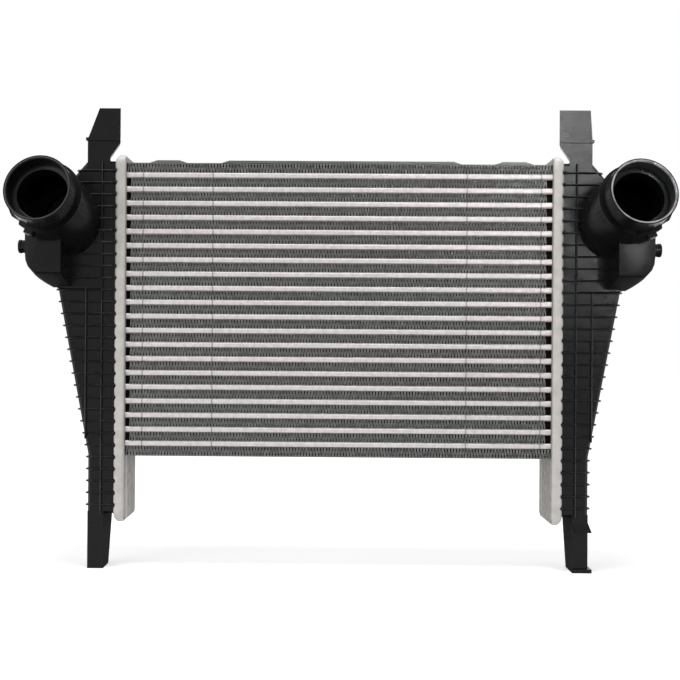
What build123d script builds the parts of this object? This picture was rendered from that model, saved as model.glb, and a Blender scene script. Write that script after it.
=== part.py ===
"""Charge air cooler (intercooler): a brazed aluminium tube-and-fin core with two header plates,
and a moulded plastic tank crimped on to each header.

Millimetres. X runs across the core, Y from front to back, Z up. The origin is midway between the
two tanks and midway in depth, at the level of the undersides of the feet.
"""
import os
from math import sqrt

from build123d import *

# ---------------------------------------------------------------- core
tube_count = 20
core_width = 430.0              # between the dry faces of the two header plates
core_depth = 62.0
tube_height = 5.9
tube_wall = 0.5
tube_edge = 1.3                 # bevel along the tube's four long edges
tube_proud = 2.0                # tube end beyond the header plate, inside the tank
fin_height = 8.4                # space between two tubes
fin_thickness = 0.4
fin_waves = 12
fin_end_space = 4.2             # bare tube between a fin row and the header plate
outer_fin_end_space = 1.2       # the same on the outermost two rows
inner_fin_thickness = 0.3
inner_fin_waves = 2
tolerance = 0.01                # for telling edges apart
braze_gap = 0.05                # each brazed joint, between tube, fin, header and side plate

# ---------------------------------------------------------------- side plates
side_plate_thickness = 1.0
side_plate_flange = 2.6         # height of the top plate's flanges above its web
flange_relief_places = (-137.0, 133.0)   # middles of the relief gaps in the flanges
flange_relief_width = 30.0
flange_end_setback = 24.0

# ---------------------------------------------------------------- header plates
header_depth = 74.0
header_sheet = 1.6
header_floor = 2.0
header_rim = 10.6               # height of the rim, dry face to crimped edge
header_corner = 6.0             # corners of the pan, seen from its end
header_bend = 3.0               # bevelled bend between floor and rim
header_below_core = 66.3
header_above_core = 7.2
crimp_lip = 1.8                 # how far the crimped edge folds over the tank's foot
gasket_thickness = 2.5
gasket_width = 3.6
seat_clearance = 0.2            # gasket and tank foot inside the pan

# ---------------------------------------------------------------- tanks
# Reaches are measured outward from the header plate's dry face.
tank_wall = 2.5
tank_above_header_bottom = 7.0  # underside of the tank above the header's lower end
tank_below_header_top = 5.0
tank_low_reach = 37.0
tank_wide_reach = 68.5
plenum_reach = 94.0
shoulder_reach = 39.0
taper_height = 60.0             # straight lower stretch
taper_length = 168.0            # widening stretch above it
plenum_rise = 16.0              # slope from the taper out to the plenum's corner
plenum_side_height = 48.0
tank_edge = 2.5                 # bevel round the tank's front and back faces
least_bevel = 0.3
rib_count = 29
rib_pitch = 12.05
rib_thickness = 1.5
rib_height = 1.8
lowest_rib = 8.8                # above the tank's underside
upright_rib_reach = 23.6
upright_rib_height = 1.2
ledge_thickness = 2.0
ledge_height = 3.0

# ---------------------------------------------------------------- spigots
sleeve_radius = 33.0
sleeve_length = 22.0
socket_radius = 30.7
socket_depth = 30.0
throat_radius = 28.0
throat_land = 4.0               # length of the narrow throat behind the socket
collar_radius = 36.5
collar_width = 3.5
neck_radius = 35.0              # behind the collar
neck_root_radius = 37.5         # at the tank, and the round of the plenum behind it
mouth_reach = 71.0              # mouth centre, outward from the header face
mouth_forward = 75.0            # mouth centre, ahead of the header's front
mouth_below_core_top = 35.1
mouth_splay = 0.10              # the spigot's slope outward, for each unit forward
mouth_tilt = 0.27               # its slope upward, for each unit forward
lug_width = 9.0
lug_height = 3.5
lug_length = 8.0
lug_angle = -70.5               # round the collar, from the outward side

# ---------------------------------------------------------------- block below the spigot
block_forward = 27.0
block_inner_reach = 56.0
block_base_rise = 15.5          # front face's lower edge above the end of the taper
block_height = 46.0
block_corner_run = 7.0          # bevelled lower outer corner of the front face
boss_radius = 6.3
boss_length = 5.5
boss_rise = 24.5                # boss axis above the front face's lower edge
boss_forward = 12.0             # boss axis ahead of the tank's front

# ---------------------------------------------------------------- ears and feet
ear_thickness = 18.0
ear_height = 53.2               # above the tank's top
ear_inner_reach = 6.5
ear_outer_reach = 39.2
ear_neck_reach = 16.5
ear_neck_height = 4.0
ear_slant_height = 18.4
left_ear_top_reach = 27.3
right_ear_top_reach = 37.2
ear_lip_height = 22.0
ear_lip_thickness = 3.0
ear_lip_proud = 1.6
ear_wall = 3.0
foot_height = 55.4
foot_reach = 21.0
foot_width = 16.0
foot_wall = 3.0
foot_top_depth = 53.0
foot_base_depth = 30.0
foot_base_thickness = 3.8
foot_heel = 9.0                 # rounded lower rear corner
foot_lip = 3.5                  # how far the hooded foot's base and hood stand out
hood_drop = 5.0                 # hood's upper edge, below the tank
hood_height = 10.0

# ---------------------------------------------------------------- derived levels and planes
pitch = tube_height + fin_height
core_height = tube_count * tube_height + (tube_count + 1) * fin_height
tank_bottom = foot_height
header_bottom = tank_bottom - tank_above_header_bottom
core_bottom = header_bottom + header_below_core
core_top = core_bottom + core_height
header_top = core_top + header_above_core
tank_top = header_top - tank_below_header_top
header_face = core_width / 2
floor_wet = header_face + header_floor
tank_seat = floor_wet + gasket_thickness
rim_end = header_face + header_rim
foot_flange_end = rim_end - header_sheet - seat_clearance

spigot_slope = sqrt(mouth_splay ** 2 + mouth_tilt ** 2)
slope_length = sqrt(1 + spigot_slope ** 2)      # along the spigot, for each unit forward
mouth_swing = sleeve_radius * spigot_slope / slope_length
front_reach = header_depth / 2 + mouth_forward + mouth_swing
back_reach = header_depth / 2
core_y = (front_reach - back_reach) / 2
header_front = core_y - header_depth / 2
tank_inset = header_sheet + crimp_lip + seat_clearance
tank_front = header_front + tank_inset
tank_depth = header_depth - 2 * tank_inset

taper_start = tank_bottom + taper_height
taper_end = taper_start + taper_length
plenum_base = taper_end + plenum_rise
plenum_top = plenum_base + plenum_side_height

mouth_x = header_face + mouth_reach
mouth_z = core_top - mouth_below_core_top
neck_run = mouth_forward + tank_inset           # mouth centre to the tank's front, along Y
root_x = mouth_x - mouth_splay * neck_run
root_z = mouth_z - mouth_tilt * neck_run
neck_end = neck_run * slope_length + neck_root_radius * spigot_slope

os.makedirs("parts", exist_ok=True)


def save(builder, name):
    builder.part.label = name
    export_step(builder.part, f"parts/{name}.step")


def front_view(side, depth):
    """Plane facing the front at one depth: local x outward from the middle, local y up."""
    return Plane(origin=(0, depth, 0), x_dir=(side, 0, 0), z_dir=(0, -side, 0))


def end_view(side, reach):
    """Plane facing sideways: local x towards the back, local y up, at one outward distance."""
    return Plane(origin=(side * reach, core_y, 0), x_dir=(0, 1, 0), z_dir=(1, 0, 0))


def zigzag(length, height, thickness, waves):
    """Corners of a pleated strip, `height` over its crests, centred on the origin."""
    step = length / (2 * waves)
    lean = sqrt(step ** 2 + height ** 2) / step
    band = thickness * lean
    swing = (height - band) / 2
    middle = [(-length / 2 + n * step, swing * (-1) ** n) for n in range(2 * waves + 1)]
    top = [(x, z + band / 2) for x, z in middle]
    bottom = [(x, z - band / 2) for x, z in reversed(middle)]
    return top + bottom


# ================================================================ core
# Flat tubes: the charge air runs through them from tank to tank.
tube_length = core_width + 2 * (header_floor + tube_proud)
tube_levels = [core_bottom + fin_height + tube_height / 2 + n * pitch for n in range(tube_count)]
for number, level in enumerate(tube_levels, start=1):
    tube_end = Plane(origin=(-tube_length / 2, core_y, level), x_dir=(0, 1, 0), z_dir=(1, 0, 0))
    with BuildPart() as tube:
        with BuildSketch(tube_end) as section:
            Rectangle(core_depth, tube_height)
            chamfer(section.vertices(), tube_edge)
            offset(amount=-tube_wall, kind=Kind.INTERSECTION, mode=Mode.SUBTRACT)
        extrude(amount=tube_length)
    save(tube, f"tube_{number:02d}")

# Turbulators: one pleated strip brazed inside each tube, pleats across the depth.
with BuildPart() as inner_fins:
    inner_depth = core_depth - 2 * tube_wall - 2 * tube_edge
    inner_height = tube_height - 2 * tube_wall - 2 * braze_gap
    with BuildSketch(end_view(-1, core_width / 2)):
        with Locations(*[(0, level) for level in tube_levels]):
            pleats = zigzag(inner_depth, inner_height, inner_fin_thickness, inner_fin_waves)
            Polygon(*pleats, align=None)
    extrude(amount=core_width, dir=(1, 0, 0))
save(inner_fins, "inner_fins")

# Fin rows: pleated strips between the tubes, and one outside each outermost tube.
for number in range(tube_count + 1):
    level = core_bottom + fin_height / 2 + number * pitch
    outermost = number in (0, tube_count)
    fin_length = core_width - 2 * (outer_fin_end_space if outermost else fin_end_space)
    with BuildPart() as fin:
        with BuildSketch(front_view(1, core_y - core_depth / 2)):
            with Locations((0, level)):
                Polygon(*zigzag(fin_length, fin_height - 2 * braze_gap, fin_thickness, fin_waves),
                        align=None)
        extrude(amount=core_depth, dir=(0, 1, 0))
    save(fin, f"fin_{number + 1:02d}")

# Side plates: a flat one below, and a channel above with relief gaps in its two flanges.
plate_length = core_width - 2 * braze_gap
with BuildPart() as bottom_side_plate:
    with Locations((0, core_y, core_bottom - side_plate_thickness / 2)):
        Box(plate_length, core_depth, side_plate_thickness)
save(bottom_side_plate, "bottom_side_plate")

with BuildPart() as top_side_plate:
    web_level = core_top + side_plate_thickness / 2
    with Locations((0, core_y, web_level)):
        Box(plate_length, core_depth, side_plate_thickness)
    with BuildSketch(Plane.XY.offset(core_top + side_plate_thickness)):
        with Locations((0, core_y)):
            Rectangle(plate_length - 2 * flange_end_setback, core_depth)
            Rectangle(plate_length, core_depth - 2 * side_plate_thickness, mode=Mode.SUBTRACT)
        with Locations(*[(place, core_y) for place in flange_relief_places]):
            Rectangle(flange_relief_width, core_depth, mode=Mode.SUBTRACT)
    extrude(amount=side_plate_flange)
save(top_side_plate, "top_side_plate")


# ================================================================ header plates
def header_plate(side):
    """Pressed pan: slotted floor against the core, rim standing outward, its edge crimped inward."""
    height = header_top - header_bottom
    middle = (header_top + header_bottom) / 2
    with BuildPart() as pan:
        with BuildSketch(end_view(side, header_face)):
            with Locations((0, middle)):
                RectangleRounded(header_depth, height, header_corner)
        extrude(amount=header_rim, dir=(side, 0, 0))
        dry_face = pan.faces().sort_by(Axis.X)[0 if side > 0 else -1]
        chamfer(dry_face.edges(), header_bend)
        with BuildSketch(end_view(side, floor_wet)):
            with Locations((0, middle)):
                RectangleRounded(header_depth - 2 * header_sheet, height - 2 * header_sheet,
                                 header_corner - header_sheet)
        extrude(amount=header_rim - header_floor - header_sheet, dir=(side, 0, 0), mode=Mode.SUBTRACT)
        with BuildSketch(end_view(side, rim_end - header_sheet)):
            with Locations((0, middle)):
                opening = header_sheet + crimp_lip
                RectangleRounded(header_depth - 2 * opening, height - 2 * opening, header_corner - opening)
        extrude(amount=header_sheet, dir=(side, 0, 0), mode=Mode.SUBTRACT)
        with BuildSketch(end_view(side, header_face)):
            with Locations(*[(0, level) for level in tube_levels]):
                Rectangle(core_depth + 2 * braze_gap, tube_height + 2 * braze_gap)
        extrude(amount=header_floor, dir=(side, 0, 0), mode=Mode.SUBTRACT)
    return pan


def gasket_ring(side):
    """Flat rubber ring in the pan, under the tank's foot."""
    height = header_top - header_bottom - 2 * (header_sheet + seat_clearance)
    width = header_depth - 2 * (header_sheet + seat_clearance)
    corner = header_corner - header_sheet - seat_clearance
    with BuildPart() as ring:
        with BuildSketch(end_view(side, floor_wet)):
            with Locations((0, (header_top + header_bottom) / 2)):
                RectangleRounded(width, height, corner)
                Rectangle(width - 2 * gasket_width, height - 2 * gasket_width, mode=Mode.SUBTRACT)
        extrude(amount=gasket_thickness, dir=(side, 0, 0))
    return ring


# ================================================================ tanks
def tank_form(side, start, growth):
    """The tank's outer form from `start` outward, grown by `growth` on all its other sides."""
    outline = [
        (start + growth, tank_bottom),
        (header_face + tank_low_reach, tank_bottom),
        (header_face + tank_low_reach, taper_start),
        (header_face + tank_wide_reach, taper_end),
        (header_face + plenum_reach, plenum_base),
        (header_face + plenum_reach, plenum_top),
        (header_face + shoulder_reach, tank_top),
        (start + growth, tank_top),
    ]
    with BuildPart() as form:
        with BuildSketch(front_view(side, tank_front - growth)):
            with BuildLine():
                Polyline(outline, close=True)
            make_face()
            with Locations((root_x, root_z)):
                Circle(neck_root_radius)
            if growth:
                offset(amount=growth, kind=Kind.INTERSECTION)
        extrude(amount=tank_depth + 2 * growth, dir=(0, 1, 0))
        ends = form.faces().filter_by(Axis.Y).edges()
        rims = ends.filter_by(lambda edge: abs(edge.center().X) > start + tolerance)
        chamfer(rims, max(tank_edge + growth * (2 - sqrt(2)), least_bevel))
    return form.part


def spigot_plane(side, depth):
    """Plane across the spigot, `depth` in from its mouth, facing out of the mouth.

    Local x is level and points outward; local y is up on the right and down on the left.
    """
    outward = Vector(side * mouth_splay, -1, mouth_tilt).normalized()
    mouth = Vector(side * mouth_x, header_front - mouth_forward, mouth_z)
    return Plane(origin=mouth - outward * depth, x_dir=(side, mouth_splay, 0), z_dir=outward)


def turned(side, profile):
    """Solid turned about the spigot's axis, from corners given as depth and radius."""
    across = spigot_plane(side, 0)
    section = Plane(origin=across.origin, x_dir=-across.z_dir, z_dir=across.x_dir)
    with BuildPart() as form:
        with BuildSketch(section):
            with BuildLine():
                Polyline(profile, close=True)
            make_face()
        revolve(axis=Axis(across.origin, across.z_dir))
    return form.part


def spigot_bore(side, growth):
    """Air passage, grown by `growth`: a socket, a throat, then a cone that opens into the plenum."""
    plenum_radius = neck_root_radius - tank_wall + growth
    return turned(side, [
        (0, 0), (0, socket_radius + growth), (socket_depth, socket_radius + growth),
        (socket_depth, throat_radius + growth), (socket_depth + throat_land, throat_radius + growth),
        (neck_run * slope_length, plenum_radius), (neck_end, plenum_radius), (neck_end, 0),
    ])


def rib_cage(side):
    """Level ribs round the tank's front, back and outer side, and a lower upright one across the front.

    Each is rooted half way into the wall that carries it.
    """
    middle = side * (header_face + plenum_reach / 2)
    rib_levels = [tank_bottom + lowest_rib + n * rib_pitch for n in range(rib_count)]
    with BuildPart() as level_slabs:
        with Locations(*[(middle, core_y, level) for level in rib_levels]):
            Box(2 * plenum_reach, 2 * header_depth, rib_thickness)
    with BuildPart() as upright:
        add(tank_form(side, rim_end, upright_rib_height))
        with Locations((side * (header_face + upright_rib_reach), tank_front, (tank_top + tank_bottom) / 2)):
            Box(rib_thickness, tank_depth, tank_top - tank_bottom, mode=Mode.INTERSECT)
    with BuildPart() as cage:
        add(tank_form(side, rim_end, rib_height))
        add(level_slabs.part, mode=Mode.INTERSECT)
        add(upright.part)
        add(tank_form(side, tank_seat, -tank_wall / 2), mode=Mode.SUBTRACT)
        add(spigot_bore(side, tank_wall / 2), mode=Mode.SUBTRACT)
    return cage.part


def plenum_block(side):
    """Block under the spigot, its underside sloping down to the tank, with a round boss outside."""
    base = taper_end + block_base_rise
    inner = header_face + block_inner_reach
    outer = header_face + plenum_reach
    bevel = block_corner_run * plenum_rise / (plenum_reach - tank_wide_reach)
    front_corners = [(inner, base), (outer - block_corner_run, base), (outer, base + bevel),
                     (outer, base + block_height), (inner, base + block_height)]
    root_corners = [(inner, taper_end), (header_face + tank_wide_reach, taper_end), (outer, plenum_base),
                    (outer, base + block_height), (inner, base + block_height)]
    boss_root = (side * outer, tank_front - boss_forward, base + boss_rise)
    with BuildPart() as block:
        for depth, corners in ((tank_front - block_forward, front_corners), (tank_front, root_corners)):
            with BuildSketch(front_view(side, depth)):
                Polygon(*corners, align=None)
        loft(ruled=True)
        with BuildSketch(Plane(origin=boss_root, x_dir=(0, 1, 0), z_dir=(side, 0, 0))):
            Circle(boss_radius)
        extrude(amount=boss_length)
    return block.part


def ear(side, top_reach):
    """Upright mounting ear: a shell open to the back, with a lip round it."""
    base = tank_top - ear_neck_height
    inner = header_face + ear_inner_reach
    outer = header_face + ear_outer_reach
    neck = header_face + ear_neck_reach
    corners = [(inner, tank_top + ear_height), (header_face + top_reach, tank_top + ear_height),
               (outer, tank_top + ear_lip_height), (outer, base), (neck, base),
               (neck, tank_top + ear_neck_height), (inner, tank_top + ear_slant_height)]
    lip_span = outer + ear_lip_proud - inner
    with BuildPart() as plate:
        with BuildSketch(front_view(side, tank_front)):
            Polygon(*corners, align=None)
        extrude(amount=ear_thickness, dir=(0, 1, 0))
        lip_level = tank_top + ear_lip_height
        with Locations((side * (inner + lip_span / 2), tank_front + ear_thickness / 2, lip_level)):
            Box(lip_span, ear_thickness + 2 * ear_lip_proud, ear_lip_thickness)
        with BuildSketch(front_view(side, tank_front + ear_wall)):
            Polygon(*corners, align=None)
            offset(amount=-ear_wall, kind=Kind.INTERSECTION)
        extrude(amount=ear_thickness, dir=(0, 1, 0), mode=Mode.SUBTRACT)
    return plate.part


def foot(side, hooded):
    """Channel open to the back, on a base plate. The hooded one has a lipped base and a flared collar."""
    inner = header_face + foot_reach
    middle = side * (inner + foot_width / 2)
    front = tank_front - core_y
    top = tank_bottom + tank_wall
    with BuildPart() as channel:
        with BuildSketch(end_view(side, inner)) as profile:
            Polygon((front, 0), (front + foot_base_depth, 0), (front + foot_top_depth, top), (front, top),
                    align=None)
            fillet(profile.vertices().sort_by(Axis.Z)[:2].sort_by(Axis.Y)[-1], foot_heel)
        extrude(amount=foot_width, dir=(side, 0, 0))
        with Locations((middle, tank_front + foot_wall, foot_base_thickness)):
            Box(foot_width - 2 * foot_wall, foot_top_depth, tank_bottom - foot_base_thickness,
                align=(Align.CENTER, Align.MIN, Align.MIN), mode=Mode.SUBTRACT)
        if hooded:
            lip_corner = (side * inner, tank_front - foot_lip, 0)
            with Locations(lip_corner):
                Box(foot_width + foot_lip, foot_lip + foot_base_depth - foot_heel, foot_base_thickness,
                    align=(Align.MIN if side > 0 else Align.MAX, Align.MIN, Align.MIN))
            hood_top = tank_bottom - hood_drop
            for level, flare in ((hood_top, 0), (hood_top - hood_height, foot_lip)):
                with BuildSketch(Plane.XY.offset(level)):
                    with Locations((middle + side * flare, tank_front - flare)):
                        Rectangle(foot_width, foot_wall + flare, align=(Align.CENTER, Align.MIN))
            loft(ruled=True)
    return channel.part


def tank_moulding(side, ear_top_reach, hooded):
    """One moulding: ribbed shell with its foot flange, neck and spigot, block, ear and foot."""
    fit = header_sheet + seat_clearance
    collar_end = sleeve_length + collar_width
    with BuildPart() as tank:
        add(tank_form(side, tank_seat, 0))
        # Foot flange, held in the header's pan by the crimp.
        flange_height = header_top - header_bottom - 2 * fit
        with BuildSketch(end_view(side, tank_seat)):
            with Locations((0, (header_top + header_bottom) / 2)):
                RectangleRounded(header_depth - 2 * fit, flange_height, header_corner - fit)
        extrude(amount=foot_flange_end - tank_seat, dir=(side, 0, 0))
        # Neck and sleeve, with a collar that stops the hose and a lug below the collar.
        add(turned(side, [
            (0, 0), (0, sleeve_radius), (sleeve_length, sleeve_radius), (sleeve_length, collar_radius),
            (collar_end, collar_radius), (collar_end, neck_radius),
            (neck_run * slope_length, neck_root_radius), (neck_end, neck_root_radius), (neck_end, 0),
        ]))
        with Locations(spigot_plane(side, sleeve_length + lug_length / 2)):
            with PolarLocations(collar_radius, 1, start_angle=side * lug_angle):
                Box(2 * lug_height, lug_width, lug_length)
        add(plenum_block(side))
        add(ear(side, ear_top_reach))
        add(foot(side, hooded))
        # Ledge across the foot of the plenum.
        with Locations((side * (header_face + upright_rib_reach), tank_front, taper_end)):
            Box(tank_wide_reach - upright_rib_reach, 2 * ledge_height, ledge_thickness,
                align=(Align.MIN if side > 0 else Align.MAX, Align.CENTER, Align.CENTER))
        # Hollow for the charge air, from the header side through to the spigot's mouth.
        add(tank_form(side, tank_seat, -tank_wall), mode=Mode.SUBTRACT)
        add(spigot_bore(side, 0), mode=Mode.SUBTRACT)
        add(rib_cage(side))
    return tank


sides = (("left", -1, left_ear_top_reach, False), ("right", 1, right_ear_top_reach, True))
for name, side, ear_top_reach, hooded in sides:
    save(header_plate(side), f"{name}_header")
    save(gasket_ring(side), f"{name}_gasket")
    save(tank_moulding(side, ear_top_reach, hooded), f"{name}_tank")
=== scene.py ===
"""Charge air cooler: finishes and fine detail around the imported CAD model.

Metres, in the model's own frame: X runs across the core, Y from front to back, Z up. The spigots
point to the front.
"""

import math

import bmesh
import bpy
from mathutils import Matrix, Vector


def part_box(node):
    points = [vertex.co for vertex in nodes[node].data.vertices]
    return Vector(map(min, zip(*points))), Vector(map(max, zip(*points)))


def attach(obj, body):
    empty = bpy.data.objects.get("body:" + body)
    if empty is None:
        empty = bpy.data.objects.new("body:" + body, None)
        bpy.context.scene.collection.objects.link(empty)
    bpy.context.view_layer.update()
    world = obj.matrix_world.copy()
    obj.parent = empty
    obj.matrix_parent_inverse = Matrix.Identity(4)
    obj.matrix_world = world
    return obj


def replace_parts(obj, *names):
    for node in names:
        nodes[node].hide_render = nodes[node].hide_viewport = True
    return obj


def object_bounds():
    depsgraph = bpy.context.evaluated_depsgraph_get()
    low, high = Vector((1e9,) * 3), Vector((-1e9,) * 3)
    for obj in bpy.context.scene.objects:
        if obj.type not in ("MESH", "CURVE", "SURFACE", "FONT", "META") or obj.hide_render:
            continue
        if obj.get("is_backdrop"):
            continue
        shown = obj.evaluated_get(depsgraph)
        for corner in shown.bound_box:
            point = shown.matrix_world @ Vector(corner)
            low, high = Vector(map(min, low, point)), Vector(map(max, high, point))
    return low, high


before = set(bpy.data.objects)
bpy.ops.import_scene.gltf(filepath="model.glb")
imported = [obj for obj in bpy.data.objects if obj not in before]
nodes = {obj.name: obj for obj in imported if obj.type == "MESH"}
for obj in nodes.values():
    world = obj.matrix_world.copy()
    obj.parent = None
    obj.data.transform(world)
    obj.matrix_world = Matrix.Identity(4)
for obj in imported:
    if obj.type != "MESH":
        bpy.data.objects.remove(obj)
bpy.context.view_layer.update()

# ---------------------------------------------------------------- flat tubes
# Twenty flat tubes folded from aluminium sheet clad with a brazing alloy, furnace brazed to the
# fins and the header plates. The clad melts and sets again, which leaves a pale satin skin,
# crossed by thin dark lines where the furnace straps held the core together.
mm = 0.001
tube_count = 20
strap_places = (-198 * mm, -127.4 * mm, 129 * mm, 203.7 * mm)
strap_half_width = 0.75 * mm
strap_strength = 0.7            # how far a strap's mark hides the skin
weld_gap = 0.005 * mm           # corners of the CAD mesh nearer than this are one
nose_round = 0.5 * mm


def linear(code):
    """Linear RGBA for a shader socket, from an sRGB hex colour."""
    parts = [int(code[place:place + 2], 16) / 255 for place in (1, 3, 5)]
    return [p / 12.92 if p <= 0.04045 else ((p + 0.055) / 1.055) ** 2.4 for p in parts] + [1.0]


def add_node(tree, kind, sockets=None, **settings):
    """Adds a shader node; each socket takes a plain value or the output that feeds it."""
    made = tree.nodes.new("ShaderNode" + kind)
    for name, value in settings.items():
        setattr(made, name, value)
    for name, value in (sockets or {}).items():
        if isinstance(value, bpy.types.NodeSocket):
            tree.links.new(value, made.inputs[name])
        else:
            made.inputs[name].default_value = value
    return made


def new_material(name, **sockets):
    """A material with its shader's plain values, and the object coordinates, in metres."""
    material = bpy.data.materials.new(name)
    material.use_nodes = True
    tree = material.node_tree
    tree.nodes.clear()
    shader = add_node(tree, "BsdfPrincipled", sockets)
    add_node(tree, "OutputMaterial", {"Surface": shader.outputs["BSDF"]})
    place = add_node(tree, "TexCoord").outputs["Object"]
    return material, tree, shader, place


def noise(tree, place, size, detail):
    """A noise value from 0 to 1, whose patches measure about the given size."""
    return add_node(tree, "TexNoise", {"Vector": place, "Scale": 1 / size, "Detail": detail}).outputs["Fac"]


def shade_by(tree, value, stops):
    """Colour along a value, from (position, hex colour) stops."""
    made = add_node(tree, "ValToRGB", {"Fac": value})
    elements = made.color_ramp.elements
    while len(elements) < len(stops):
        elements.new(0.5)
    for element, (position, code) in zip(elements, stops):
        element.position = position
        element.color = linear(code)
    return made.outputs["Color"]


def finish_node(name, material):
    """Gives a CAD node its material."""
    node = nodes[name]
    node.data.materials.clear()
    node.data.materials.append(material)
    return node


# Brazed tube sheet: satin, mottled by the clad alloy at 3 to 6 mm.
tube_sheet, tree, shader, place = new_material("brazed_aluminium_tube_sheet", Metallic=1.0)
mottle = noise(tree, place, 4 * mm, 3.0)
skin = shade_by(tree, mottle, ((0.3, "#bbb6b4"), (0.5, "#c6c1c0"), (0.7, "#d0cbca")))
across = add_node(tree, "SeparateXYZ", {"Vector": place}).outputs["X"]
strap_mask = 0.0
for strap in strap_places:
    line = add_node(tree, "Math", {0: across, 1: strap, 2: strap_half_width}, operation="COMPARE")
    strap_mask = add_node(tree, "Math", {0: strap_mask, 1: line.outputs[0]}, operation="MAXIMUM").outputs[0]
strap_share = add_node(tree, "Math", {0: strap_mask, 1: strap_strength}, operation="MULTIPLY").outputs[0]
marked = add_node(tree, "Mix", {0: strap_share, 6: skin, 7: linear("#77746f")}, data_type="RGBA")
tree.links.new(marked.outputs[2], shader.inputs["Base Color"])
rough = add_node(tree, "MapRange", {"Value": mottle, "To Min": 0.45, "To Max": 0.6}).outputs["Result"]
tree.links.new(rough, shader.inputs["Roughness"])
grain = noise(tree, place, 0.8 * mm, 2.0)
bump = add_node(tree, "Bump", {"Height": grain, "Strength": 0.25, "Distance": 0.1 * mm}).outputs["Normal"]
tree.links.new(bump, shader.inputs["Normal"])

for number in range(1, tube_count + 1):
    tube = finish_node(f"tube_{number:02d}", tube_sheet)
    weld = tube.modifiers.new("weld", "WELD")
    weld.merge_threshold = weld_gap
    rounded = tube.modifiers.new("rounded_nose", "BEVEL")
    rounded.width = nose_round
    rounded.segments = 3
    rounded.limit_method = "ANGLE"
    rounded.angle_limit = math.radians(30)

# ---------------------------------------------------------------- fin rows
# Thin aluminium strip pleated to a 3.1 mm pitch, one row between each two tubes and one outside
# each outermost tube, brazed at every crest. Slats cut in its walls stand across the middle of each
# pleat, and behind its front edge the strip weaves, so that no light comes straight through.
fin_pitch = 3.1 * mm
fin_crest = 0.95 * mm           # flat at the top of a pleat
fin_sheet = 0.36 * mm           # 0.1 mm on the real strip, drawn thicker so that its edge shows
slat_depth = (0.9 * mm, 2.2 * mm)
slat_open = 0.34                # share of a pleat's height left open at its wide end
right_space = 1.7 * mm          # more bare tube at the right end of the inner rows
fin_path = ((0, 0), (4, 0), (12, 0.5), (36, -0.5), (62, 0.5))  # depth in mm, shift in pleats
pleat_weld = 0.01 * mm          # one pleat's end and the next one's start are nearer than this

# The strip's faces and its slats take dark greys: painted shade, for the dark channels between the pleats.
fin_strip_shaded, tree, shader, place = new_material("fin_strip_painted_shade", Metallic=1.0, Roughness=0.6)
patchy_tone = noise(tree, place, 5 * mm, 2.0)
tree.links.new(shade_by(tree, patchy_tone, ((0.3, "#2e2f2e"), (0.7, "#3e3f3d"))), shader.inputs["Base Color"])
fin_slat_shaded, tree, shader, place = new_material("fin_slat_painted_shade", Metallic=1.0, Roughness=0.6)
patchy_tone = noise(tree, place, 5 * mm, 2.0)
tree.links.new(shade_by(tree, patchy_tone, ((0.3, "#72746f"), (0.7, "#8a8c87"))), shader.inputs["Base Color"])
# Slit edge of the strip: the aluminium's own pale grey, lighter than the painted shade on its faces and
# slats, with the odd duller pleat.
edge_metal, tree, shader, place = new_material("slit_edge_of_fin_strip", Metallic=1.0, Roughness=0.55)
spotty_tone = noise(tree, place, 4 * mm, 2.0)
tree.links.new(shade_by(tree, spotty_tone, ((0.35, "#9c9d9a"), (0.65, "#cacac7"))), shader.inputs["Base Color"])


def new_piece(name, bm, materials):
    """Closes a bmesh into an object at the origin that rides on the cooler."""
    mesh = bpy.data.meshes.new(name)
    bm.to_mesh(mesh)
    bm.free()
    for material in materials:
        mesh.materials.append(material)
    piece = bpy.data.objects.new(name, mesh)
    bpy.context.scene.collection.objects.link(piece)
    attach(piece, "root")
    return piece


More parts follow.
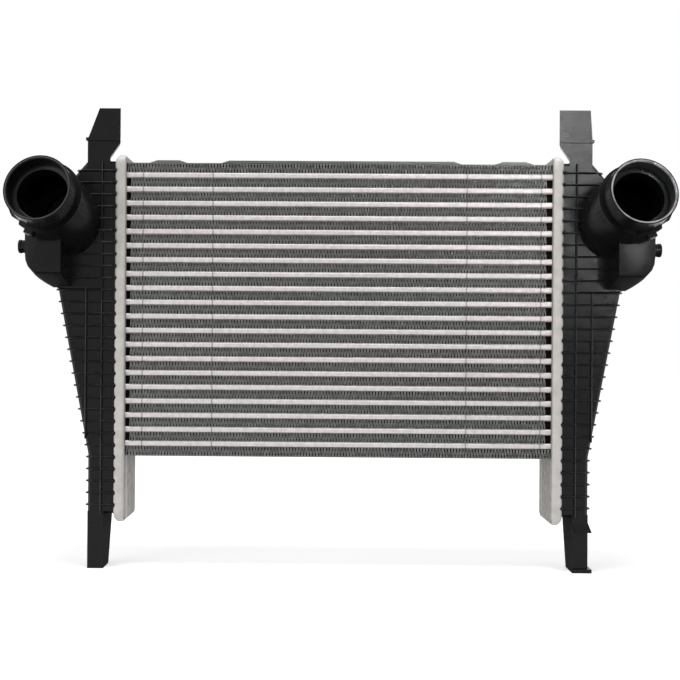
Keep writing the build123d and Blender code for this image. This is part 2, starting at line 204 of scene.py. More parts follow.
for number in range(1, tube_count + 2):
    low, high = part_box(f"fin_{number:02d}")
    if 1 < number <= tube_count:
        high.x -= right_space
    height = high.z - low.z - fin_sheet
    count = int((high.x - low.x) / fin_pitch)
    wave = (high.x - low.x) / count
    leg_run = wave / 2 - fin_crest
    corners = ((0, 0), (fin_crest / 2, 0), (fin_crest / 2 + leg_run, height),
               (fin_crest * 1.5 + leg_run, height), (wave - fin_crest / 2, 0), (wave, 0))
    bm = bmesh.new()
    row = [bm.verts.new((low.x + x, low.y, low.z + fin_sheet / 2 + z)) for x, z in corners]
    edges = [bm.edges.new(pair) for pair in zip(row, row[1:])]
    for (start, shift), (end, next_shift) in zip(fin_path, fin_path[1:]):
        swept = bmesh.ops.extrude_edge_only(bm, edges=edges)["geom"]
        fresh = {v for v in swept if isinstance(v, bmesh.types.BMVert)}
        step = ((next_shift - shift) * wave, (end - start) * mm, 0)
        bmesh.ops.translate(bm, vec=step, verts=list(fresh))
        edges = [e for e in swept if isinstance(e, bmesh.types.BMEdge) and fresh.issuperset(e.verts)]
    # One slat inside the pleat, open below, and one between it and the next, open above.
    for start, base, top in ((fin_crest / 2, slat_open, 1), (wave / 2 + fin_crest / 2, 0, 1 - slat_open)):
        opened = base > 0
        lean_base, lean_top = [leg_run * (share if opened else 1 - share) for share in (base, top)]
        span = wave / 2 + leg_run
        slat = [(low.x + start + lean_base, low.y + slat_depth[0], low.z + height * base),
                (low.x + start + span - lean_base, low.y + slat_depth[1], low.z + height * base),
                (low.x + start + span - lean_top, low.y + slat_depth[1], low.z + height * top),
                (low.x + start + lean_top, low.y + slat_depth[0], low.z + height * top)]
        bm.faces.new([bm.verts.new(corner) for corner in slat]).material_index = 2
    bmesh.ops.recalc_face_normals(bm, faces=bm.faces)
    fin = new_piece(f"fin_row_{number:02d}", bm, (fin_strip_shaded, edge_metal, fin_slat_shaded))
    repeat = fin.modifiers.new("pleats", "ARRAY")
    repeat.count = count
    repeat.use_relative_offset = False
    repeat.use_constant_offset = True
    repeat.constant_offset_displace = (wave, 0, 0)
    repeat.use_merge_vertices = True
    repeat.merge_threshold = pleat_weld
    sheet = fin.modifiers.new("sheet", "SOLIDIFY")
    sheet.thickness = fin_sheet
    sheet.offset = 0
    sheet.material_offset_rim = 1
    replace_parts(fin, f"fin_{number:02d}")
finish_node("inner_fins", fin_strip_shaded)

# ---------------------------------------------------------------- gap shade blocks
# Black blocks in the open ends of the inner fin rows, between the fins and the header plates: painted shade,
# for the deep shadow in the gap there. They stand back from the face of the core.
sides = (("left", -1), ("right", 1))
shade_block_setback = 1.5 * mm
shade_block_clearance = 0.1 * mm


def stretched(middle, size):
    """The matrix that brings a shape of unit size to its place and size."""
    return Matrix.Translation(middle) @ Matrix.Diagonal(size).to_4x4()


gap_shade_black, tree, shader, place = new_material("black_painted_shade_gap", Roughness=0.95)
shader.inputs["Specular IOR Level"].default_value = 0.1
shade_grain = noise(tree, place, 0.7 * mm, 2.0)
tree.links.new(shade_by(tree, shade_grain, ((0.3, "#060606"), (0.7, "#0e0e0e"))), shader.inputs["Base Color"])
for name, side in sides:
    floor_low, floor_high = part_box(f"{name}_header")
    floor_reach = min(abs(floor_low.x), abs(floor_high.x))
    bm = bmesh.new()
    for number in range(2, tube_count + 1):
        low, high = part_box(f"fin_{number:02d}")
        high.x -= right_space * (side > 0)
        span = Vector((floor_reach - high.x, high.y - low.y, high.z - low.z))
        span -= Vector((1, 1, 1)) * shade_block_clearance
        span.y -= 2 * shade_block_setback
        middle = Vector((side * (floor_reach + high.x) / 2, (low.y + high.y) / 2, (low.z + high.z) / 2))
        bmesh.ops.create_cube(bm, size=1, matrix=stretched(middle, span))
    new_piece(f"{name}_gap_shade_blocks", bm, (gap_shade_black,))

# ---------------------------------------------------------------- side plates
# A flat aluminium strip below the core and a shallow channel above it, brazed to the outermost fins. Both
# take a dark grey-green: painted shade, for aluminium that stands in shadow.
side_sheet_shaded, tree, shader, place = new_material("side_plate_painted_shade", Metallic=1.0, Roughness=0.45)
streak_place = add_node(tree, "Mapping", {"Vector": place, "Scale": (0.08, 1, 1)}).outputs["Vector"]
streak = noise(tree, streak_place, 2 * mm, 2.0)
tree.links.new(shade_by(tree, streak, ((0.3, "#5e605a"), (0.7, "#747670"))), shader.inputs["Base Color"])
finish_node("bottom_side_plate", side_sheet_shaded)

plate_sheet = 1 * mm
flange_spans = ((-193, -152.5), (-120.5, 124.5), (155.5, 197))  # along X, in mm
flange_ramp = 9 * mm            # how far a flange takes to rise at each of its ends
flange_step = 0.6 * mm          # above the web, a third of the way up the ramp
low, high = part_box("top_side_plate")
bm = bmesh.new()
web_middle = Vector(((low.x + high.x) / 2, (low.y + high.y) / 2, low.z + plate_sheet / 2))
web_size = Vector((high.x - low.x, high.y - low.y, plate_sheet))
bmesh.ops.create_cube(bm, size=1, matrix=stretched(web_middle, web_size))
for start, end in flange_spans:
    for front, back in ((low.y, low.y + plate_sheet), (high.y - plate_sheet, high.y)):
        foot_level = low.z + plate_sheet / 2
        step_level = low.z + plate_sheet + flange_step
        corners = [(start * mm, foot_level), (start * mm + flange_ramp / 3, step_level),
                   (start * mm + flange_ramp, high.z), (end * mm - flange_ramp, high.z),
                   (end * mm - flange_ramp / 3, step_level), (end * mm, foot_level)]
        near, far = [[bm.verts.new((x, depth, z)) for x, z in corners] for depth in (front, back)]
        bm.faces.new(near)
        bm.faces.new(far[::-1])
        for n in range(len(corners)):
            following = (n + 1) % len(corners)
            bm.faces.new((near[n], far[n], far[following], near[following]))
bmesh.ops.recalc_face_normals(bm, faces=bm.faces)
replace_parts(new_piece("top_side_channel", bm, (side_sheet_shaded,)), "top_side_plate")

# ---------------------------------------------------------------- header plates
# Each is a pan pressed from aluminium sheet: a slotted floor brazed round the tubes' ends, and a
# rim whose edge is rolled over the tank's foot. The roller presses it down between the tank's
# ribs, so the edge is scalloped.
header_sheet = 1.6 * mm
bend_radius = 3 * mm
corner_radius = 8 * mm
slot_depth = 62.1 * mm
slot_height = 6 * mm
slot_slack = 0.1                # a grid face this near to a slot's height is a slot
rim_step = 1.4 * mm             # length of the edges round the rim
most_cuts = 60
square_on = 0.9                 # a face whose normal has this share along an axis looks along it
short_end_cut = 0.3             # how much lower the rim is across the two short ends
rib_pitch = 12.05 * mm
first_rib = 64.2 * mm
rib_count = 29
crimp_radius = 2.4 * mm
crimp_start = 0.75              # first loop of the rim, as a share of the height where rolling begins
crimp_onset = 0.55              # share of the scallops' depth where rolling begins
hem = 1 * mm                    # how far the rolled edge turns in past the roll
crimp_dip = 1.5 * mm            # how far the edge draws back at a rib
bead_inset = 6 * mm             # raised panel pressed into the floor below the core
bead_width = 1.2 * mm
bead_height = 1.4 * mm
pan_growth = 1.4 * mm           # the rolled edge swells the two ends

header_metal, tree, shader, place = new_material("pressed_aluminium_header", Metallic=1.0)
cloud = noise(tree, place, 9 * mm, 4.0)
tree.links.new(shade_by(tree, cloud, ((0.3, "#bbb8b5"), (0.5, "#c5c2bf"), (0.7, "#cdcac8"))),
               shader.inputs["Base Color"])
rough = add_node(tree, "MapRange", {"Value": cloud, "To Min": 0.7, "To Max": 0.85}).outputs["Result"]
tree.links.new(rough, shader.inputs["Roughness"])
peel = noise(tree, place, 1.2 * mm, 2.0)
bump = add_node(tree, "Bump", {"Height": peel, "Strength": 0.3, "Distance": 0.12 * mm}).outputs["Normal"]
tree.links.new(bump, shader.inputs["Normal"])

# The pan's faces that look along X, its floor among them, take a darker grey than the rest of the pan.
darker_floor_metal, tree, shader, place = new_material("darker_aluminium_floor", Metallic=1.0, Roughness=0.8)
cloud = noise(tree, place, 7 * mm, 4.0)
tree.links.new(shade_by(tree, cloud, ((0.35, "#949290"), (0.65, "#aeaca9"))), shader.inputs["Base Color"])


def settle(piece, crease=35):
    """Applies the piece's modifiers and shades it smooth, up to a crease angle in degrees."""
    graph = bpy.context.evaluated_depsgraph_get()
    mesh = bpy.data.meshes.new_from_object(piece.evaluated_get(graph))
    piece.modifiers.clear()
    piece.data = mesh
    mesh.polygons.foreach_set("use_smooth", [True] * len(mesh.polygons))
    mesh.set_sharp_from_angle(angle=math.radians(crease))


def face_height(face):
    """How far a face reaches from its lowest corner to its highest one."""
    return max(v.co.z for v in face.verts) - min(v.co.z for v in face.verts)


def rim_edges(bm, middle, half):
    """Open edges round the outside of a pan's floor, without those of its slots."""
    return [e for e in bm.edges if e.is_boundary
            and (abs((e.verts[0].co.y + e.verts[1].co.y) / 2 - middle.y) > slot_depth / 2 + 0.5 * mm
                 or abs((e.verts[0].co.z + e.verts[1].co.z) / 2 - middle.z) > half.z - bend_radius * 1.5)]


def rib_dip(level):
    """1 at a rib's level, falling to 0 between two ribs, and 0 past the outermost ribs."""
    step = (level - first_rib) / rib_pitch
    if step < -0.5 or step > rib_count - 0.5:
        return 0.0
    return max(0.0, math.cos(2 * math.pi * step)) ** 2


for name, side in sides:
    low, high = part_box(f"{name}_header")
    low.z -= pan_growth
    high.z += pan_growth
    middle = (low + high) / 2
    half = (high - low) / 2
    face = min(abs(low.x), abs(high.x))
    # Floor: a grid with the slots taken out.
    levels = [low.z + bend_radius]
    for number in range(1, tube_count + 1):
        tube_low, tube_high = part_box(f"tube_{number:02d}")
        slot_middle = (tube_low.z + tube_high.z) / 2
        levels += [slot_middle - slot_height / 2, slot_middle + slot_height / 2]
    levels.append(high.z - bend_radius)
    depths = [low.y + bend_radius, middle.y - slot_depth / 2, middle.y + slot_depth / 2,
              high.y - bend_radius]
    bm = bmesh.new()
    bmesh.ops.create_grid(bm, x_segments=len(depths) - 1, y_segments=len(levels) - 1, size=1)
    xs = sorted({round(v.co.x, 4) for v in bm.verts})
    ys = sorted({round(v.co.y, 4) for v in bm.verts})
    for v in bm.verts:
        v.co = (side * face, depths[xs.index(round(v.co.x, 4))], levels[ys.index(round(v.co.y, 4))])
    inner = [f for f in bm.faces if abs(f.calc_center_median().y - middle.y) < slot_depth / 2]
    slots = [f for f in inner if abs(face_height(f) - slot_height) < slot_height * slot_slack]
    panel = [f for f in inner if f.calc_center_median().z < levels[1]]
    bmesh.ops.delete(bm, geom=slots, context="FACES_ONLY")
    bmesh.ops.inset_region(bm, faces=panel, thickness=bead_inset)
    bmesh.ops.inset_region(bm, faces=panel, thickness=bead_width, depth=bead_height)
    outer_corners = [v for v in bm.verts if len(v.link_edges) == 2]
    bmesh.ops.bevel(bm, geom=outer_corners, offset=corner_radius - bend_radius, affect="VERTICES",
                    segments=4, profile=0.5, material=-1, offset_type="OFFSET")
    ring = rim_edges(bm, middle, half)
    for cuts in range(1, most_cuts):
        long_edges = [e for e in ring if round(e.calc_length() / rim_step) - 1 == cuts and e.is_valid]
        if long_edges:
            bmesh.ops.subdivide_edges(bm, edges=long_edges, cuts=cuts)
    ring = rim_edges(bm, middle, half)
    # Bend, rim and rolled edge, each a further loop: reach from the floor, radius at the corner and
    # share of the scallops' depth.
    loops = [(bend_radius * (1 - math.cos(a)), corner_radius - bend_radius * (1 - math.sin(a)), 0)
             for a in (math.radians(18 * n) for n in range(1, 6))]
    rolled_from = half.x * 2 - crimp_radius
    loops += [(rolled_from * crimp_start, corner_radius, 0), (rolled_from, corner_radius, crimp_onset)]
    loops += [(rolled_from + crimp_radius * math.sin(a), corner_radius - crimp_radius * (1 - math.cos(a)), 1)
              for a in (math.radians(30 * n) for n in range(1, 4))]
    loops.append((half.x * 2, corner_radius - crimp_radius - hem, 1))
    flat_half = (half.y - corner_radius, half.z - corner_radius)
    for reach, radius, share in loops:
        made = bmesh.ops.extrude_edge_only(bm, edges=ring)["geom"]
        ring = [e for e in made if isinstance(e, bmesh.types.BMEdge)]
        for v in (v for v in made if isinstance(v, bmesh.types.BMVert)):
            depth, level = v.co.y - middle.y, v.co.z - middle.z
            anchor = Vector((max(-flat_half[0], min(flat_half[0], depth)),
                             max(-flat_half[1], min(flat_half[1], level))))
            outward = (Vector((depth, level)) - anchor).normalized()
            place_at = anchor + outward * radius
            draw_back = crimp_dip * share * rib_dip(v.co.z) * abs(outward.x)
            reached = reach * (1 - short_end_cut * outward.y ** 2) - draw_back
            v.co = (side * (face + reached), middle.y + place_at.x, middle.z + place_at.y)
        ring = [e for e in ring if e.is_boundary]
    bmesh.ops.recalc_face_normals(bm, faces=bm.faces)
    pan = new_piece(f"{name}_header_pan", bm, (header_metal, darker_floor_metal))
    for polygon in pan.data.polygons:
        if abs(polygon.normal.x) > square_on:
            polygon.material_index = 1
    sheet = pan.modifiers.new("sheet", "SOLIDIFY")
    sheet.thickness = header_sheet
    sheet.offset = -1
    settle(pan)
    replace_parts(pan, f"{name}_header")

# ---------------------------------------------------------------- gaskets
# A black rubber ring between the header plate and the tank's foot, hidden once the rim is rolled.
rubber, tree, shader, place = new_material("moulded_rubber", Roughness=0.7)
bloom = noise(tree, place, 3 * mm, 2.0)
tree.links.new(shade_by(tree, bloom, ((0.3, "#161616"), (0.7, "#222222"))), shader.inputs["Base Color"])
for name in ("left_gasket", "right_gasket"):
    finish_node(name, rubber)

# ---------------------------------------------------------------- tanks
# Each is one moulding in black glass-filled nylon: ribbed shell, spigot, block, ear and foot. The
# mould gives it a satin face with a fine spark-eroded grain and slightly rounded edges.
nylon, tree, shader, place = new_material("moulded_glass_filled_nylon", IOR=1.53)
shader.inputs["Specular IOR Level"].default_value = 0.16
flow = noise(tree, place, 25 * mm, 3.0)
tree.links.new(shade_by(tree, flow, ((0.3, "#0d0d0e"), (0.7, "#131315"))), shader.inputs["Base Color"])
rough = add_node(tree, "MapRange", {"Value": flow, "To Min": 0.2, "To Max": 0.3}).outputs["Result"]
tree.links.new(rough, shader.inputs["Roughness"])
grain = noise(tree, place, 0.5 * mm, 2.0)
bump = add_node(tree, "Bump", {"Height": grain, "Strength": 0.2, "Distance": 0.08 * mm}).outputs["Normal"]
sink = noise(tree, place, 14 * mm, 1.0)
bump = add_node(tree, "Bump", {"Height": sink, "Strength": 0.5, "Distance": 0.5 * mm, "Normal": bump})
tree.links.new(bump.outputs["Normal"], shader.inputs["Normal"])

# The feet's webs and the blocks' undersides get a rough, barely reflective copy of the nylon, so that they
# come out darker: painted shade.
nylon_shaded, tree, shader, place = new_material("nylon_painted_shade", Roughness=0.8)
shader.inputs["Specular IOR Level"].default_value = 0.05
shade_patches = noise(tree, place, 8 * mm, 3.0)
tree.links.new(shade_by(tree, shade_patches, ((0.3, "#0c0c0d"), (0.7, "#161618"))), shader.inputs["Base Color"])

# The wall of the right spigot's socket takes a paler grey: painted light, for the light that falls into it
# from the left.
socket_nylon_lit, tree, shader, place = new_material("socket_nylon_painted_light", Roughness=0.5)
patchy_tone = noise(tree, place, 10 * mm, 3.0)
tree.links.new(shade_by(tree, patchy_tone, ((0.35, "#232626"), (0.65, "#323636"))), shader.inputs["Base Color"])

# Each tank is a copy of the CAD mesh, edited: the ear's inner side leans outward towards the back,
# as it was drawn from the mould, and the block's end is drawn in under its rounded cover.
foot_top = 55 * mm
ear_foot = 411.6 * mm
ear_neck = 20 * mm              # the lean applies up to here, from the header's floor
ear_thickness = 18 * mm
ear_lean = 3.9 * mm
ear_shift = -0.5 * mm
tank_setback = 3.6 * mm         # front of the tank behind the front of the header
block_nose = 20 * mm            # the old block's end, ahead of the tank's front
block_levels = (285 * mm, 346 * mm)
block_end = 93 * mm             # only the block's end lies further out
block_draw_in = 4 * mm
mouth_reach = 71 * mm           # mouth centre from the header's floor
mouth_forward = 75 * mm         # ahead of the header's front
mouth_level = 374 * mm
mouth_splay = 0.10
mouth_tilt = 0.27
socket_radius = 31.4 * mm
socket_depth = 29 * mm
wall_slope = 0.5                # a socket wall's normal has less than this along the spigot's axis
mould_radius = 0.5 * mm

for name, side in sides:
    low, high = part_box(f"{name}_header")
    face = min(abs(low.x), abs(high.x))
    front = low.y + tank_setback
    source = nodes[f"{name}_tank"]
    bm = bmesh.new()
    bm.from_mesh(source.data)
    bm.transform(source.matrix_world)
    bmesh.ops.remove_doubles(bm, verts=bm.verts, dist=weld_gap)
    for v in bm.verts:
        reach = abs(v.co.x) - face
        if v.co.z > ear_foot and reach < ear_neck:
            share = max(0.0, min(1.0, (v.co.y - front) / ear_thickness))
            v.co.x += side * (ear_shift + ear_lean * share)
        if (v.co.y < front - block_nose and block_levels[0] < v.co.z < block_levels[1]
                and reach > block_end):
            v.co.x -= side * block_draw_in
    tank = new_piece(f"{name}_tank_shell", bm, (nylon,))
    tank.data.polygons.foreach_set("use_smooth", [True] * len(tank.data.polygons))
    tank.data.materials.append(nylon_shaded)
    tank.data.materials.append(socket_nylon_lit)
    mouth = Vector((side * (face + mouth_reach), low.y - mouth_forward, mouth_level))
    axis = Vector((side * mouth_splay, -1, mouth_tilt)).normalized()
    for polygon in tank.data.polygons:
        offset = polygon.center - mouth
        depth = -offset.dot(axis)
        in_socket = 0 < depth < socket_depth and (offset + depth * axis).length < socket_radius
        if polygon.center.z < foot_top and abs(polygon.normal.x) > square_on:
            polygon.material_index = 1
        elif side > 0 and in_socket and abs(polygon.normal.dot(axis)) < wall_slope:
            polygon.material_index = 2
    flat = tank.modifiers.new("flat_faces", "DECIMATE")
    flat.decimate_type = "DISSOLVE"
    flat.angle_limit = math.radians(0.5)
    flat.delimit = {"MATERIAL"}
    edge = tank.modifiers.new("mould_radius", "BEVEL")
    edge.width = mould_radius
    edge.segments = 2
    edge.limit_method = "ANGLE"
    edge.angle_limit = math.radians(25)
    normals = tank.modifiers.new("normals", "WEIGHTED_NORMAL")
    normals.keep_sharp = True
    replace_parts(tank, f"{name}_tank")

# ---------------------------------------------------------------- block covers
# The block under each spigot is part of the nylon moulding: a box with one broad round along the
# lower edge of its front, whose underside slopes back to the tank, and a hollow boss on its outer
# end. Outlines are in mm, outward from the header's floor and up; the boss has reach and radius.
cover_forward = 42 * mm
cover_front = ((56.5, 295.4), (79, 295.4), (84.5, 297.6), (88.5, 302), (90.8, 308), (91.5, 316),
               (91.5, 342), (56.5, 342))
cover_root = ((55.5, 283.2), (73, 283.2), (80, 287), (86.5, 291.2), (91.5, 295.2), (94.4, 299),
              (94.4, 342), (55.5, 342))
boss_profile = ((88, 6.4), (101.5, 6.4), (102, 6.8), (104.2, 6.8), (104.7, 6.3), (104.9, 4.8),
                (103, 4.5), (103, 0.1))
boss_place = (12, 323.4)        # ahead of the tank's front, and level
nose_level = 296 * mm           # only the front's lower edge lies below this
cover_crease = math.radians(28)
cover_roll = 12 * mm
cover_edge = 3 * mm
shaded_below = -0.35              # faces that look down more steeply than this get the painted shade

for name, side in sides:
    low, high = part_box(f"{name}_header")
    face = min(abs(low.x), abs(high.x))
    front = low.y + tank_setback
    bm = bmesh.new()
    rows = [[bm.verts.new((side * (face + x * mm), depth, z * mm)) for x, z in corners]
            for depth, corners in ((front - cover_forward, cover_front), (front + 1 * mm, cover_root))]
    count = len(cover_front)
    for n in range(count):
        bm.faces.new((rows[0][n], rows[0][(n + 1) % count], rows[1][(n + 1) % count], rows[1][n]))
    bm.faces.new(rows[0])
    bm.faces.new(rows[1][::-1])
    bmesh.ops.recalc_face_normals(bm, faces=bm.faces)
    nose = [e for e in bm.edges if all(v in rows[0] for v in e.verts)]
    lower = [e for e in nose if all(v.co.z < nose_level for v in e.verts)]
    bmesh.ops.bevel(bm, geom=lower, offset=cover_roll, offset_type="OFFSET", affect="EDGES", segments=8,
                    profile=0.5, material=-1, clamp_overlap=True)
    sharp = [e for e in bm.edges if len(e.link_faces) == 2 and e.calc_face_angle() > cover_crease]
    bmesh.ops.bevel(bm, geom=sharp, offset=cover_edge, offset_type="OFFSET", affect="EDGES", segments=4,
                    profile=0.5, material=-1, clamp_overlap=True)
    boss_centre = Vector((side * face, front - boss_place[0] * mm, boss_place[1] * mm))
    row = [bm.verts.new(boss_centre + Vector((side * reach * mm, 0, radius * mm)))
           for reach, radius in boss_profile]
    edges = [bm.edges.new(pair) for pair in zip(row, row[1:])]
    bmesh.ops.spin(bm, geom=row + edges, cent=boss_centre, axis=(1, 0, 0), angle=2 * math.pi,
                   steps=32, use_merge=True)
    bmesh.ops.recalc_face_normals(bm, faces=bm.faces)
    cover = new_piece(f"{name}_block_cover", bm, (nylon, nylon_shaded))
    for polygon in cover.data.polygons:
        if polygon.normal.z < shaded_below:
            polygon.material_index = 1
    settle(cover)

# ---------------------------------------------------------------- rib grids
# Ribs moulded across each tank's front, with the rounded tops that a mould leaves: level ones that
# turn round the bevelled outer edge, and two upright ones. Reaches count from the header's floor.
tank_bevel = 2.5 * mm
tank_base = 55.4 * mm
tank_top = 410.8 * mm
taper_base = 115.4 * mm
taper_top = 283.4 * mm
low_reach = 37 * mm
wide_reach = 68.5 * mm
neck_reach = 62 * mm            # the ribs above the taper end inside the neck
shoulder_reach = 38 * mm        # where the tank's top turns down to the plenum
shoulder_slope = 0.86           # outward, for each unit down
upright_ribs = ((23.6 * mm, tank_base, tank_top), (39.5 * mm, 131 * mm, taper_top))  # reach, base, top
rib_width = 2.2 * mm
rib_rise = 2.6 * mm
rib_start = 1 * mm              # beyond the header's rim
rib_round = ((-0.5, -0.2), (-0.46, 0.45), (-0.3, 0.85), (0, 1), (0.3, 0.85), (0.46, 0.45), (0.5, -0.2))
rib_turn = ((0, -1), (0.38, -0.92), (0.92, -0.38), (1, 0))  # outward and back, round the tank's edge

# One side of each rib's crest, the top of the level ribs and the outer side of the upright ones, takes a
# paler grey: painted highlight.
crest_nylon_highlight, tree, shader, place = new_material("nylon_crest_painted_highlight", Roughness=0.35)
spotty_tone = noise(tree, place, 12 * mm, 3.0)
tree.links.new(shade_by(tree, spotty_tone, ((0.4, "#121214"), (0.62, "#434346"))), shader.inputs["Base Color"])


def add_ridge(bm, points, outward, across, crest):
    """Lays a rounded ridge along points with their outward directions; `crest` lists the strips that carry
    the painted highlight.
    """
    rows = []
    for point, out in zip(points, outward):
        rows.append([bm.verts.new(Vector(point) + across * (a * rib_width) + Vector(out) * (h * rib_rise))
                     for a, h in rib_round])
    for row, following in zip(rows, rows[1:]):
        for n in range(len(row) - 1):
            strip = bm.faces.new((row[n], row[n + 1], following[n + 1], following[n]))
            strip.material_index = 1 if n in crest else 0
    bm.faces.new(rows[0])
    bm.faces.new(rows[-1][::-1])


def tank_reach(level):
    """How far the tank's front reaches outward from the header's floor, at one level."""
    if level > taper_top:
        return min(neck_reach, shoulder_reach + shoulder_slope * (tank_top - level))
    share = max(0.0, (level - taper_base) / (taper_top - taper_base))
    return low_reach + share * (wide_reach - low_reach)


for name, side in sides:
    low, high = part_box(f"{name}_header")
    face, rim = sorted((abs(low.x), abs(high.x)))
    front = low.y + tank_setback
    bm = bmesh.new()
    for number in range(rib_count):
        level = first_rib + number * rib_pitch
        edge_reach = face + tank_reach(level)
        bevel_start = edge_reach - tank_bevel
        path = [(side * (rim + rib_start), front, level), (side * bevel_start, front, level),
                (side * edge_reach, front + tank_bevel, level),
                (side * edge_reach, front + 3 * tank_bevel, level)]
        outs = [(side * outward, back, 0) for outward, back in rib_turn]
        if level > taper_top:
            path, outs = path[:2], outs[:1] * 2
        add_ridge(bm, path, outs, Vector((0, 0, 1)), (4,))
    for reach, base, top in upright_ribs:
        across = Vector((side, 0, 0))
        add_ridge(bm, [(side * (face + reach), front, base), (side * (face + reach), front, top)],
                  [(0, -1, 0)] * 2, across, (3,))
    bmesh.ops.recalc_face_normals(bm, faces=bm.faces)
    grid = new_piece(f"{name}_rib_grid", bm, (nylon, crest_nylon_highlight))
    settle(grid, crease=50)

# ---------------------------------------------------------------- rib roots
# Rounded roots of the level ribs, front and back, of the same nylon. The rolled edge of the header
# plate closes over them.
head_radii = Vector((2.2, 2.2, 1.8)) * mm
head_overlap = 1.5 * mm         # how far they reach in under the edge
head_inset = 2.2 * mm           # from the faces of the header plate

for name, side in sides:
    low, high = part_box(f"{name}_header")
    rim = max(abs(low.x), abs(high.x)) + head_radii.x - head_overlap
    bm = bmesh.new()
    for number in range(rib_count):
        for depth in (low.y + head_inset, high.y - head_inset):
            at = Vector((side * rim, depth, first_rib + number * rib_pitch))
            bmesh.ops.create_uvsphere(bm, u_segments=10, v_segments=6, radius=1,
                                      matrix=stretched(at, head_radii))
    heads = new_piece(f"{name}_rib_roots", bm, (nylon,))
    settle(heads)

# ---------------------------------------------------------------- spigot linings
# The mould's core leaves each spigot a narrower throat behind its socket, and a rounded lip round the mouth.
# The lip carries a painted highlight: strong on the right spigot, faint on the left.
throat_profile = ((15.5, 31.2), (15.5, 25.9), (15.9, 25.2), (16.8, 25), (30.5, 25), (30.5, 31.2))
lip_profile = ((0.3, 32.0), (-0.2, 31.8), (-0.35, 31.3), (-0.2, 30.8), (0.5, 30.4), (2.0, 30.3),
               (2.4, 31.0))
turn_steps = 72

lip_nylon_highlight, tree, shader, place = new_material("nylon_lip_painted_highlight", Roughness=0.32)
lip_patches = noise(tree, place, 9 * mm, 3.0)
pale = shade_by(tree, lip_patches, ((0.35, "#6a6a6c"), (0.6, "#b4b4b6")))
outward = add_node(tree, "SeparateXYZ", {"Vector": place}).outputs["X"]
right_share = add_node(tree, "Math", {0: outward, 1: 0.0}, operation="GREATER_THAN").outputs[0]
tone = add_node(tree, "Mix", {0: right_share, 6: linear("#2e2e30"), 7: pale}, data_type="RGBA")
tree.links.new(tone.outputs[2], shader.inputs["Base Color"])


def turned(bm, profile, centre, axis):
    """Turns a profile of depth and radius, in mm, about an axis that points out of the mouth."""
    turn = axis.to_track_quat("Z", "Y").to_matrix()
    row = [bm.verts.new(centre + turn @ Vector((radius * mm, 0, -depth * mm))) for depth, radius in profile]
    edges = [bm.edges.new(pair) for pair in zip(row, row[1:])]
    bmesh.ops.spin(bm, geom=row + edges, cent=centre, axis=axis, angle=2 * math.pi, steps=turn_steps,
                   use_merge=True)


for name, side in sides:
    low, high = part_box(f"{name}_header")
    face = min(abs(low.x), abs(high.x))
    centre = Vector((side * (face + mouth_reach), low.y - mouth_forward, mouth_level))
    axis = Vector((side * mouth_splay, -1, mouth_tilt)).normalized()
    for part, profile, material in (("throat", throat_profile, nylon), ("lip", lip_profile, lip_nylon_highlight)):
        bm = bmesh.new()
        turned(bm, profile, centre, axis)
        bmesh.ops.recalc_face_normals(bm, faces=bm.faces)
        lining = new_piece(f"{name}_{part}", bm, (material,))
        settle(lining)

# ---------------------------------------------------------------- floor, backdrop, light, camera
# A pale floor and a white surround. The room and a long soft lamp overhead light the object evenly,
# with a weak broad lamp at the left and two small narrow ones that brighten the right tank.
floor_half_width = 6
floor_glow = 0.6                # added for the eye alone, so that the floor runs into the background
room_strength = 0.45

floor_paint, tree, shader, place = new_material("pale_floor", Roughness=0.9)
shader.inputs["Base Color"].default_value = linear("#e6e6e6")
bm = bmesh.new()
bmesh.ops.create_grid(bm, x_segments=1, y_segments=1, size=floor_half_width)
floor_mesh = bpy.data.meshes.new("floor")
bm.to_mesh(floor_mesh)
bm.free()
floor_mesh.materials.append(floor_paint)
floor = bpy.data.objects.new("floor", floor_mesh)
bpy.context.scene.collection.objects.link(floor)
floor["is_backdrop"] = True
output = next(n for n in tree.nodes if n.bl_idname == "ShaderNodeOutputMaterial")
rays = add_node(tree, "LightPath")
glow = add_node(tree, "Emission", {"Color": linear("#ffffff"), "Strength": floor_glow})
lit = add_node(tree, "AddShader", {0: shader.outputs["BSDF"], 1: glow.outputs["Emission"]})
shown = add_node(tree, "Math", {0: rays.outputs["Is Camera Ray"], 1: rays.outputs["Is Glossy Ray"]},
                 operation="MAXIMUM").outputs[0]
seen = add_node(tree, "MixShader", {0: shown, 1: shader.outputs["BSDF"], 2: lit.outputs["Shader"]})
tree.links.new(seen.outputs["Shader"], output.inputs["Surface"])

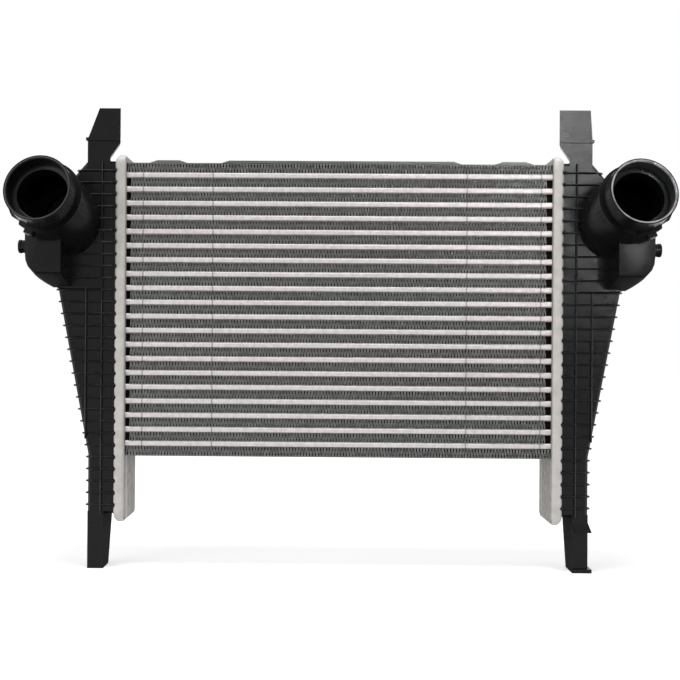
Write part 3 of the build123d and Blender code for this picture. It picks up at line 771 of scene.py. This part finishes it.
world = bpy.data.worlds.new("studio")
bpy.context.scene.world = world
world.use_nodes = True
tree = world.node_tree
tree.nodes.clear()
rays = add_node(tree, "LightPath")
seen = add_node(tree, "Math", {0: rays.outputs["Is Camera Ray"], 1: rays.outputs["Is Glossy Ray"]},
                operation="MAXIMUM").outputs[0]
seen = add_node(tree, "Math", {0: seen, 1: rays.outputs["Is Transmission Ray"]},
                operation="MAXIMUM").outputs[0]
room = add_node(tree, "Background", {"Color": linear("#ffffff"), "Strength": room_strength})
white = add_node(tree, "Background", {"Color": linear("#ffffff"), "Strength": 1.0})
both = add_node(tree, "MixShader", {0: seen, 1: room.outputs[0], 2: white.outputs[0]})
add_node(tree, "OutputWorld", {"Surface": both.outputs[0]})


def soft_lamp(name, at, aim, size, watts, spread=180):
    """A rectangular area lamp, width by height, turned to its aim; its beam spreads over some degrees."""
    light = bpy.data.lights.new(name, "AREA")
    light.shape = "RECTANGLE"
    light.size, light.size_y = size
    light.energy = watts
    light.spread = math.radians(spread)
    lamp = bpy.data.objects.new(name, light)
    lamp.location = at
    lamp.rotation_euler = (Vector(aim) - Vector(at)).to_track_quat("-Z", "Y").to_euler()
    bpy.context.scene.collection.objects.link(lamp)


soft_lamp("key", (0.6, -1.7, 0.82), (0.27, 0, 0.49), (0.3, 0.26), 0.08, 14)
soft_lamp("strip", (0.75, -1.7, 0.52), (0.29, -0.07, 0.33), (0.14, 0.16), 0.012, 10)
soft_lamp("fill", (-1.5, -1.3, 0.7), (0, 0, 0.25), (1.2, 1.2), 7)
soft_lamp("top", (0, -0.3, 1.8), (0, 0, 0.3), (0.9, 0.35), 16)

# Level, almost square on to the front, at about half the object's height.
camera_place = (-0.0076, -1.185, 0.2320)
camera_heading = math.radians(0.66)
camera_roll = math.radians(0.41)
camera_data = bpy.data.cameras.new("camera")
camera_data.sensor_width = 36
camera_data.lens = 62.73
camera_data.shift_x = 0.0338
camera_data.clip_end = 50
camera = bpy.data.objects.new("camera", camera_data)
camera.matrix_world = (Matrix.Translation(camera_place)
                       @ Matrix.Rotation(camera_heading, 4, "Z")
                       @ Matrix.Rotation(math.radians(90), 4, "X")
                       @ Matrix.Rotation(camera_roll, 4, "Z"))
bpy.context.scene.collection.objects.link(camera)
bpy.context.scene.camera = camera
bpy.context.scene.view_settings.view_transform = "Standard"

low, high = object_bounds()
